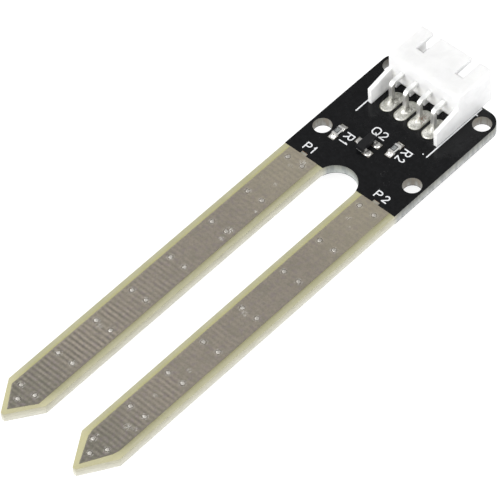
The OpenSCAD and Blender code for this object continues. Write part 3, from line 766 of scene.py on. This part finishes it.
def electrode_outline(node):
    """Left and right edge of an electrode at any y, taken from its CAD outline."""
    low, high = box_mm(node)
    mid = (low.x + high.x) / 2
    half = (high.x - low.x) / 2
    tab = [p.x for p in points_mm(node) if abs(p.y - high.y) < 0.001]
    corners = {(round(p.y, 3), round(p.x - mid, 3)) for p in points_mm(node) if p.x - mid > 0.8 * half}
    flank = [(low.y, 0.02)] + sorted(corner for corner in corners if corner[0] < MASK_EDGE_Y - 1)

    def edges(y):
        if y > MASK_EDGE_Y:
            return min(tab), max(tab)
        reach = half
        for (y0, reach0), (y1, reach1) in zip(flank, flank[1:]):
            if y0 <= y < y1:
                reach = reach0 + (reach1 - reach0) * (y - y0) / (y1 - y0)
        return mid - reach, mid + reach
    return low, high, edges


def electrode_plate(node, up):
    """A tin-levelled electrode: rippled face, drawn-down rim, closed towards the laminate."""
    low, high, edges = electrode_outline(node)
    face_z, back_z = (high.z, low.z) if up > 0 else (low.z, high.z)
    ys = [low.y]
    while ys[-1] < MASK_EDGE_Y - PLATE_ROW_STEP:
        ys.append(ys[-1] + PLATE_ROW_STEP)
    ys += [MASK_EDGE_Y, MASK_EDGE_Y + 0.002, high.y]
    shape = Shape()
    ripples = []
    wears = []
    verts = []
    rows = len(ys)
    width = PLATE_COLUMNS + 1
    for y in ys:
        left, right = edges(y)
        for i in range(width):
            t = i / PLATE_COLUMNS
            t = 0.5 - 0.5 * math.cos(math.pi * t) if 0 < i < PLATE_COLUMNS else t
            x = left + (right - left) * t
            edge = min(x - left, right - x, high.y - y + 0.03, (y - low.y) * 0.6)
            drop = PLATE_RIM_DROP * (1 - smooth(0, PLATE_RIM, edge))
            wave = ripple_at(x, y) * smooth(0, 0.4, edge)
            swell = PLATE_SWELL * rough_at(x, y, 0.5, 0.8)
            verts.append((x, y, face_z + up * (RIPPLE_DEPTH * wave + swell - drop)))
            ripples.append(wave)
            wears.append(wear_at(x, y))
    faces = [[r * width + i, r * width + i + 1, (r + 1) * width + i + 1, (r + 1) * width + i]
             for r in range(rows - 1) for i in range(PLATE_COLUMNS)]
    loop = list(range(width))
    loop += [r * width + PLATE_COLUMNS for r in range(1, rows)]
    loop += [(rows - 1) * width + i for i in range(PLATE_COLUMNS - 1, -1, -1)]
    loop += [r * width for r in range(rows - 2, 0, -1)]
    start = len(verts)
    for i in loop:
        verts.append((verts[i][0], verts[i][1], back_z))
        ripples.append(0.0)
        wears.append(0.0)
    count = len(loop)
    for k in range(count):
        n = (k + 1) % count
        faces.append([loop[k], loop[n], start + n, start + k])
    faces.append([start + k for k in range(count)])
    shape.add(verts, faces)
    shape.note("ripple", ripples)
    shape.note("wear", wears)
    return shape.build(node + "_plate", ["electrode"], (node,), 60)


# ---------- filled vias ----------

# Half sections of a filled via's cap and of the rim round it: share of the radius and share of the lift
VIA_FACE = [(0.04, 1.0), (0.35, 0.94), (0.6, 0.72), (0.78, 0.38), (0.88, 0.02)]
VIA_RIM = [(0.88, 0.02), (1.0, -0.25), (1.16, 0.0), (1.28, 0.3), (1.42, 0.0)]
VIA_RADIUS = 0.29
VIA_LIFT = 0.045
VIA_SINK = 0.02
VIA_STEPS = 20
# Half section of a tented via's bump: radius, and height over the mask
TENT_PROFILE = [(0.02, 0.005), (0.10, 0.008), (0.20, 0.032), (0.30, 0.036), (0.38, 0.018), (0.46, 0.0),
                (0.47, -0.02)]
TENT_STEPS = 28


def via_dome(shape, centre, face_z, up, seed):
    """A bright solder cap inside a dark, slightly raised rim of flux with painted shade round the cap. Some
    caps are sunk in the middle.
    """
    start = len(shape.verts)
    lift = VIA_LIFT + 0.02 * rough_at(seed, 1.7, 0.3, 1.0)
    sunk = rough_at(seed, 7.3, 2.1, 1.0) > 0.12
    lean = Vector((rough_at(seed, 2.2, 4.0, 1.0), rough_at(seed, 5.1, 8.0, 1.0))) * 0.08
    towards_tip = smooth(MASK_EDGE_Y, MASK_EDGE_Y - 45, centre.y)
    bright = 0.35 * towards_tip + 0.6 + 0.5 * rough_at(seed, 3.9, 6.0, 1.0)
    turns = [2 * math.pi * i / VIA_STEPS for i in range(VIA_STEPS)]
    uneven = [1 + 0.28 * rough_at(math.cos(turn), math.sin(turn), seed, 1.2) for turn in turns]

    def ring(share, level):
        height = level * lift
        if sunk and share < 0.6:
            height = (0.25 + share) * lift
        shift = lean * (1 - share)
        return [(centre.x + shift.x + VIA_RADIUS * far * share * math.cos(turn),
                 centre.y + shift.y + VIA_RADIUS * far * share * math.sin(turn),
                 face_z + up * height) for turn, far in zip(turns, uneven)]

    shape.loft([ring(share, level) for share, level in VIA_FACE], 0, True, False)
    outer = [ring(share, level) for share, level in VIA_RIM]
    foot = [(x, y, face_z - up * VIA_SINK) for x, y, _ in outer[-1]]
    shape.loft(outer + [foot], 1, False, False)
    shape.note("glow", [min(1.0, max(0.0, bright))] * (len(shape.verts) - start))


def stitch_caps(node):
    """The filled vias of one probe, with a cap on each face."""
    shape = Shape()
    low, high = box_mm(node)
    for number, centre in enumerate(island_centres(node, VIA_REACH)):
        for face_z, up, salt in ((high.z, 1, 0.0), (low.z, -1, 50.0)):
            via_dome(shape, centre, face_z, up, number * 1.37 + salt + low.x)
    return shape.build(node + "_caps", ["via_solder", "via_rim_flux_and_shade"], (node,), 70)


def tented_vias():
    """Low round swellings of solder mask over the two signal vias."""
    shape = Shape()
    for centre in island_centres("signal_vias", SIGNAL_VIA_REACH):
        shape.loft([circle(centre, radius, SEAT_Z + height, TENT_STEPS) for radius, height in TENT_PROFILE])
    return shape.build("tented_via_bumps", ["mask"], (), 80)


# ---------- header solder ----------

MOUND_SPOKES = 72
MOUND_LEVELS = 22
MOUND_CROWN = 0.20
MOUND_RIDGE = 0.10
MOUND_SINK = 0.01
TOP_CLIMB = 1.1
BOTTOM_CLIMB = 0.85
# Bare rim of each header pad, outside its solder
PAD_RIM = 0.06


def square_reach(angle, half):
    """Distance from the centre of a square to its edge in one direction."""
    return half / max(abs(math.cos(angle)), abs(math.sin(angle)))


def stadium_reach(angle, half_w, half_l):
    """Distance from the centre of a long pad to its edge in one direction."""
    dx, dy = abs(math.cos(angle)), abs(math.sin(angle))
    side = half_w / max(dx, 1e-6)
    c = half_l - half_w
    if dy * side <= c:
        return side
    b = dy * c
    return b + math.sqrt(max(b * b - c * c + half_w * half_w, 0.0))


def solder_mound(shape, x, base_z, up, climb, half_w, half_l, seed):
    """Solder on one long pad, domed from its rim and drawn up the pin in a hollow cone."""
    rings = []
    for k in range(MOUND_LEVELS + 1):
        t = k / MOUND_LEVELS
        ring = []
        for i in range(MOUND_SPOKES):
            angle = 2 * math.pi * i / MOUND_SPOKES
            inner = square_reach(angle, PIN_W / 2 - 0.02)
            outer = stadium_reach(angle, half_w, half_l)
            r = inner + (outer - inner) * t ** 1.4
            px = x + r * math.cos(angle)
            py = PIN_ROW_Y + r * math.sin(angle)
            front = max(0.0, -math.sin(angle)) ** 6
            crown = MOUND_CROWN * math.sqrt(max(0.0, 1 - t ** 2.6))
            ridge = MOUND_RIDGE * front * smooth(0.0, 0.35, t) * (1 - smooth(0.35, 0.9, t))
            cone = climb * math.exp((inner - r) / (0.17 + 0.1 * front))
            cone *= 1 + 0.25 * rough_at(px, py, seed, 1.3)
            lump = 0.05 * rough_at(px, py, seed + 4.0, 1.6) + 0.022 * rough_at(px, py, seed + 9.0, 4.5)
            ring.append((px, py, base_z + up * (crown + ridge + cone + lump * (1 - t ** 3))))
        rings.append(ring)
    foot = [(px, py, base_z - up * MOUND_SINK) for px, py, _ in rings[-1]]
    root = [(px, py, base_z - up * MOUND_SINK) for px, py, _ in rings[0]]
    shape.loft([root] + rings + [foot], 0, True, False)


def header_solder():
    pad_low, pad_high = box_mm("header_plated_holes")
    half_w = pad_high.x - PIN_XS[-1] - PAD_RIM
    half_l = (pad_high.y - pad_low.y) / 2 - PAD_RIM
    shape = Shape()
    for number, x in enumerate(PIN_XS):
        seed = 3.1 * number
        solder_mound(shape, x, FOIL_TOP_Z, 1, TOP_CLIMB, half_w, half_l, seed)
        solder_mound(shape, x, FOIL_BOTTOM_Z, -1, BOTTOM_CLIMB, half_w, half_l, seed + 17)
    return shape.build("header_solder_mounds", ["header_solder"], ("header_solder_joints",), 60)


# ---------- chip solder ----------

TOE_STATIONS = 18
TOE_STEPS = 16
TOE_EDGE = 0.06
# How far the solder reaches back beside the chip, and how high it stands there
TOE_BESIDE = 0.34
TOE_SIDE_RISE = 0.10
TOE_SINK = 0.02

DROP_SPOKES = 40
DROP_LEVELS = 12
DROP_HALF_X = 0.64
DROP_HALF_Y = 0.57
DROP_SINK = 0.01
# Heights of the drops on the transistor's outer leads and on its lone lead
OUTER_DROP = 0.27
LONE_DROP = 0.12


def chip_toe(shape, x, y_face, outward, half_w, toe, rise, seed):
    """Solder that lies beside a chip's end, climbs its end face and runs out in a rounded toe."""
    rings = []
    for k in range(TOE_STATIONS + 1):
        d = -TOE_BESIDE + (toe + TOE_BESIDE) * k / TOE_STATIONS
        y = y_face + outward * d
        out = max(0.0, d / toe)
        if d < 0:
            top = TOE_SIDE_RISE + (rise - TOE_SIDE_RISE) * smooth(-0.1, 0.0, d)
            half = half_w * math.sqrt(max(0.2, 1 - (d / TOE_BESIDE) ** 6))
        else:
            top = TOE_EDGE * math.sqrt(max(0.0, 1 - out ** 3)) + rise * (1 - smooth(0.0, 1.0, out)) ** 1.3
            half = half_w * math.sqrt(max(0.08, 1 - out ** 5))
        half *= 1 + 0.06 * rough_at(x + 3, y, seed, 2.0)
        ring = []
        for i in range(TOE_STEPS + 1):
            a = math.pi * i / TOE_STEPS
            px = x + half * math.cos(a)
            lump = 1 + 0.3 * rough_at(px, y, seed, 2.6)
            ring.append((px, y, FOIL_TOP_Z + max(0.004, top * lump * math.sin(a) ** 0.8)))
        ring += [(x - half, y, FOIL_TOP_Z - TOE_SINK), (x + half, y, FOIL_TOP_Z - TOE_SINK)]
        rings.append(ring)
    start = shape.loft(rings)
    shape.note("shade", [0.0] * (len(shape.verts) - start))


def resistor_solder(tag, seed):
    """Solder at both ends of one chip resistor."""
    low, high = box_mm(f"resistor_{tag}_terminals")
    pad_low, pad_high = box_mm(f"resistor_{tag}_solder")
    x = (low.x + high.x) / 2
    half_w = (pad_high.x - pad_low.x) / 2 + 0.02
    rise = 0.8 * (high.z - low.z)
    shape = Shape()
    chip_toe(shape, x, high.y, 1, half_w, pad_high.y - high.y, rise, seed)
    chip_toe(shape, x, low.y, -1, half_w, low.y - pad_low.y, rise, seed + 6)
    return shape.build(f"resistor_{tag}_fillets", ["chip_solder"], (f"resistor_{tag}_solder",), 60)


def drop_reach(angle, outward):
    """Edge of a drop that is round on its outward side and drawn to a blunt point on the other."""
    dx, dy = math.cos(angle), math.sin(angle)
    power = 2.3 if dx * outward > 0 else 1.35
    return 1 / (abs(dx / DROP_HALF_X) ** power + abs(dy / DROP_HALF_Y) ** power) ** (1 / power)


def lead_drop(shape, centre, height, outward, seed):
    """A fat drop of solder round one transistor lead, shaded on the side that mirrors the body."""
    rings = []
    shades = []
    for k in range(DROP_LEVELS + 1):
        t = max(0.02, k / DROP_LEVELS)
        ring = []
        for i in range(DROP_SPOKES):
            a = 2 * math.pi * i / DROP_SPOKES
            reach = drop_reach(a, outward)
            px = centre.x + reach * t * math.cos(a)
            py = centre.y + reach * t * math.sin(a)
            dome = math.sqrt(max(0.0, 1 - t ** 3.4)) * (1 + 0.2 * rough_at(px, py, seed, 2.2))
            ring.append((px, py, FOIL_TOP_Z - DROP_SINK + height * dome))
            inward = smooth(0.35, -0.25, (px - centre.x) * outward / DROP_HALF_X)
            shades.append(inward * (1 - smooth(0.5, 0.78, t)))
        rings.append(ring)
    shape.loft(rings)
    shape.note("shade", shades)


def transistor_solder():
    shape = Shape()
    body_high = box_mm("transistor_body")[1]
    pad_low, pad_high = box_mm("transistor_solder")
    for number, lead in enumerate(LEADS):
        low, high = box_mm(f"transistor_{lead}_lead")
        y = (low.y + high.y) / 2
        if high.x > body_high.x:
            lead_drop(shape, Vector((pad_high.x - DROP_HALF_X, y)), OUTER_DROP, 1, 2.7 * number)
        else:
            lead_drop(shape, Vector((pad_low.x + DROP_HALF_X, y)), LONE_DROP, -1, 2.7 * number)
    return shape.build("transistor_solder_blobs", ["chip_solder"], ("transistor_solder",), 60)


# ---------- legend ----------

GLYPH_H = 1.5


def glyph(letter):
    """Strokes of one of the characters P, R, Q, 1 and 2, in a cell 1 wide and GLYPH_H high."""
    if letter == "P":
        bowl = [(0, 1.5), (0.45, 1.5)] + arc((0.5, 1.1), 0.4, 90, -90) + [(0, 0.7)]
        return [[(0, 0), (0, 1.5)], bowl]
    if letter == "R":
        return glyph("P") + [[(0.45, 0.7), (0.92, 0)]]
    if letter == "Q":
        ring = arc((0.5, 1.0), 0.5, 0, 180, 12) + arc((0.5, 0.5), 0.5, 180, 360, 12)
        ring.append(ring[0])
        return [ring, [(0.6, 0.4), (0.98, 0.0)]]
    if letter == "1":
        return [[(0.1, 1.15), (0.5, 1.5), (0.5, 0)]]
    curve = arc((0.46, 1.05), 0.45, 160, -40, 12)
    return [curve + [(0.0, 0.0), (0.98, 0.0)]]


# Text, place of its lower left corner, height, widths of its two characters, gap, and turn in degrees
LEGENDS = [
    ("Q2", (-2.38, -3.80), 1.27, 1.08, 0.88, 0.40, 0),
    ("R2", (3.23, -3.04), 1.34, 0.92, 0.62, 0.58, -90),
    ("R1", (-4.66, -5.88), 1.3, 1.02, 0.35, 0.55, -90),
    ("P1", (-7.56, -11.88), 1.2, 0.88, 0.40, 0.45, 0),
    ("P2", (5.41, -11.9), 1.12, 0.93, 0.75, 0.50, 0),
]
STROKE_W = 0.19
INK_T = 0.02


def legend_outlines(text, corner, height, first_w, second_w, gap, turn):
    c, s = math.cos(math.radians(turn)), math.sin(math.radians(turn))
    outlines = []
    across = 0.0
    for letter, width in zip(text, (first_w, second_w)):
        for stroke in glyph(letter):
            run = []
            for glyph_x, glyph_y in stroke:
                x = across + glyph_x * width
                y = glyph_y * height / GLYPH_H
                run.append(Vector((corner[0] + x * c - y * s, corner[1] + x * s + y * c)))
            outlines += [capsule(a, b, STROKE_W) for a, b in zip(run, run[1:]) if (a - b).length > 1e-4]
        across += width + gap
    return outlines


def merged_outlines(outlines):
    """One flat sheet that covers every outline once, as a bmesh in millimetres."""
    verts = []
    faces = []
    for outline in outlines:
        faces.append(list(range(len(verts), len(verts) + len(outline))))
        verts += outline
    flat_verts, _, flat_faces, _, _, covered = delaunay_2d_cdt(verts, [], faces, 1, 1e-5)
    work = bmesh.new()
    made = [work.verts.new((v.x, v.y, 0)) for v in flat_verts]
    for face, outlines_here in zip(flat_faces, covered):
        if outlines_here:
            work.faces.new([made[i] for i in face])
    bmesh.ops.delete(work, geom=[vert for vert in work.verts if not vert.link_faces], context="VERTS")
    bmesh.ops.dissolve_limit(work, angle_limit=0.01, verts=work.verts, edges=work.edges)
    return work


def ink_sheet(name, outlines):
    """Outlines joined into one thin sheet of ink on the solder mask."""
    work = merged_outlines(outlines)
    lifted = bmesh.ops.extrude_face_region(work, geom=work.faces[:])
    top = [item for item in lifted["geom"] if isinstance(item, bmesh.types.BMVert)]
    bmesh.ops.translate(work, verts=top, vec=(0, 0, INK_T))
    bmesh.ops.recalc_face_normals(work, faces=work.faces)
    bmesh.ops.translate(work, verts=work.verts, vec=(0, 0, SEAT_Z))
    bmesh.ops.scale(work, verts=work.verts, vec=(MM, MM, MM))
    mesh = bpy.data.meshes.new(name)
    work.to_mesh(mesh)
    work.free()
    mesh.materials.append(MATERIALS["ink"])
    mesh.shade_smooth()
    mesh.set_sharp_from_angle(angle=math.radians(35))
    return place(name, mesh)


def legends():
    for text, *layout in LEGENDS:
        ink_sheet(f"legend_{text.lower()}", legend_outlines(text, *layout))


# ---------- stage ----------

def look_from(azimuth, elevation, distance):
    """Place in metres, and turn, of something aimed at the camera's target from that far away."""
    a, e = math.radians(azimuth), math.radians(elevation)
    back = Vector((math.sin(a) * math.cos(e), -math.cos(a) * math.cos(e), math.sin(e)))
    return (CAMERA_TARGET + back * distance) * MM, (-back).to_track_quat("-Z", "Y")


def softbox(name, azimuth, elevation, size, power):
    light = bpy.data.lights.new(name, "AREA")
    light.shape = "DISK"
    light.size = size * MM
    light.energy = power
    lamp = bpy.data.objects.new(name, light)
    lamp.location, turn = look_from(azimuth, elevation, LIGHT_DISTANCE)
    lamp.rotation_mode = "QUATERNION"
    lamp.rotation_quaternion = turn
    bpy.context.scene.collection.objects.link(lamp)


FLOOR_REACH = 2.0
FLOOR_GLOW = 0.86
WORLD_STRENGTH = 0.40
# Name, azimuth, elevation, size in millimetres and power in watts of each soft light
SOFTBOXES = [
    ("front", -18, 30, 560, 4.6),
    ("right", 100, 28, 500, 2.6),
    ("camera_side", 46, 46, 420, 0.8),
    ("left", -95, 35, 420, 0.7),
]
LIGHT_DISTANCE = 700


def floor_material():
    """A pale sheet lit from below, like a light table, so that shadows on it stay faint."""
    s = Surface("pale_floor", Specular_IOR_Level=0.2, Emission_Strength=FLOOR_GLOW)
    s.shader.inputs["Emission Color"].default_value = (1, 1, 1, 1)
    tone = s.noise(0.02, 2)
    return s.finish(s.mix(tone, (0.34, 0.34, 0.34), (0.32, 0.32, 0.32)), 0.7)


def make_stage():
    lowest = cad_bounds[0].z
    mesh = bpy.data.meshes.new("floor")
    corners = [(FLOOR_REACH * x, FLOOR_REACH * y, lowest) for x, y in ((-1, -1), (1, -1), (1, 1), (-1, 1))]
    mesh.from_pydata(corners, [], [(0, 1, 2, 3)])
    mesh.materials.append(floor_material())
    floor = bpy.data.objects.new("floor", mesh)
    bpy.context.scene.collection.objects.link(floor)

    world = bpy.data.worlds.new("studio")
    world.use_nodes = True
    background = world.node_tree.nodes["Background"]
    background.inputs["Color"].default_value = (1, 1, 1, 1)
    background.inputs["Strength"].default_value = WORLD_STRENGTH
    bpy.context.scene.world = world

    for lamp in SOFTBOXES:
        softbox(*lamp)


def make_camera():
    data = bpy.data.cameras.new("camera")
    data.lens = CAMERA_LENS
    data.sensor_width = 36
    data.clip_start = 0.05
    data.clip_end = 10
    camera = bpy.data.objects.new("camera", data)
    camera.location, turn = look_from(CAMERA_AZIMUTH, CAMERA_ELEVATION, CAMERA_DISTANCE)
    camera.rotation_mode = "QUATERNION"
    camera.rotation_quaternion = turn @ Quaternion((0, 0, 1), math.radians(CAMERA_ROLL))
    bpy.context.scene.collection.objects.link(camera)
    bpy.context.scene.camera = camera
    bpy.context.scene.view_settings.view_transform = "Standard"


make_camera()
make_stage()
finish_cad_nodes()
for probe in PROBES:
    electrode_plate(f"electrode_{probe}_top", 1)
    electrode_plate(f"electrode_{probe}_bottom", -1)
    stitch_caps(f"stitching_vias_{probe}")
tented_vias()
header_solder()
resistor_solder("r1", 1.0)
resistor_solder("r2", 11.0)
transistor_solder()
legends()
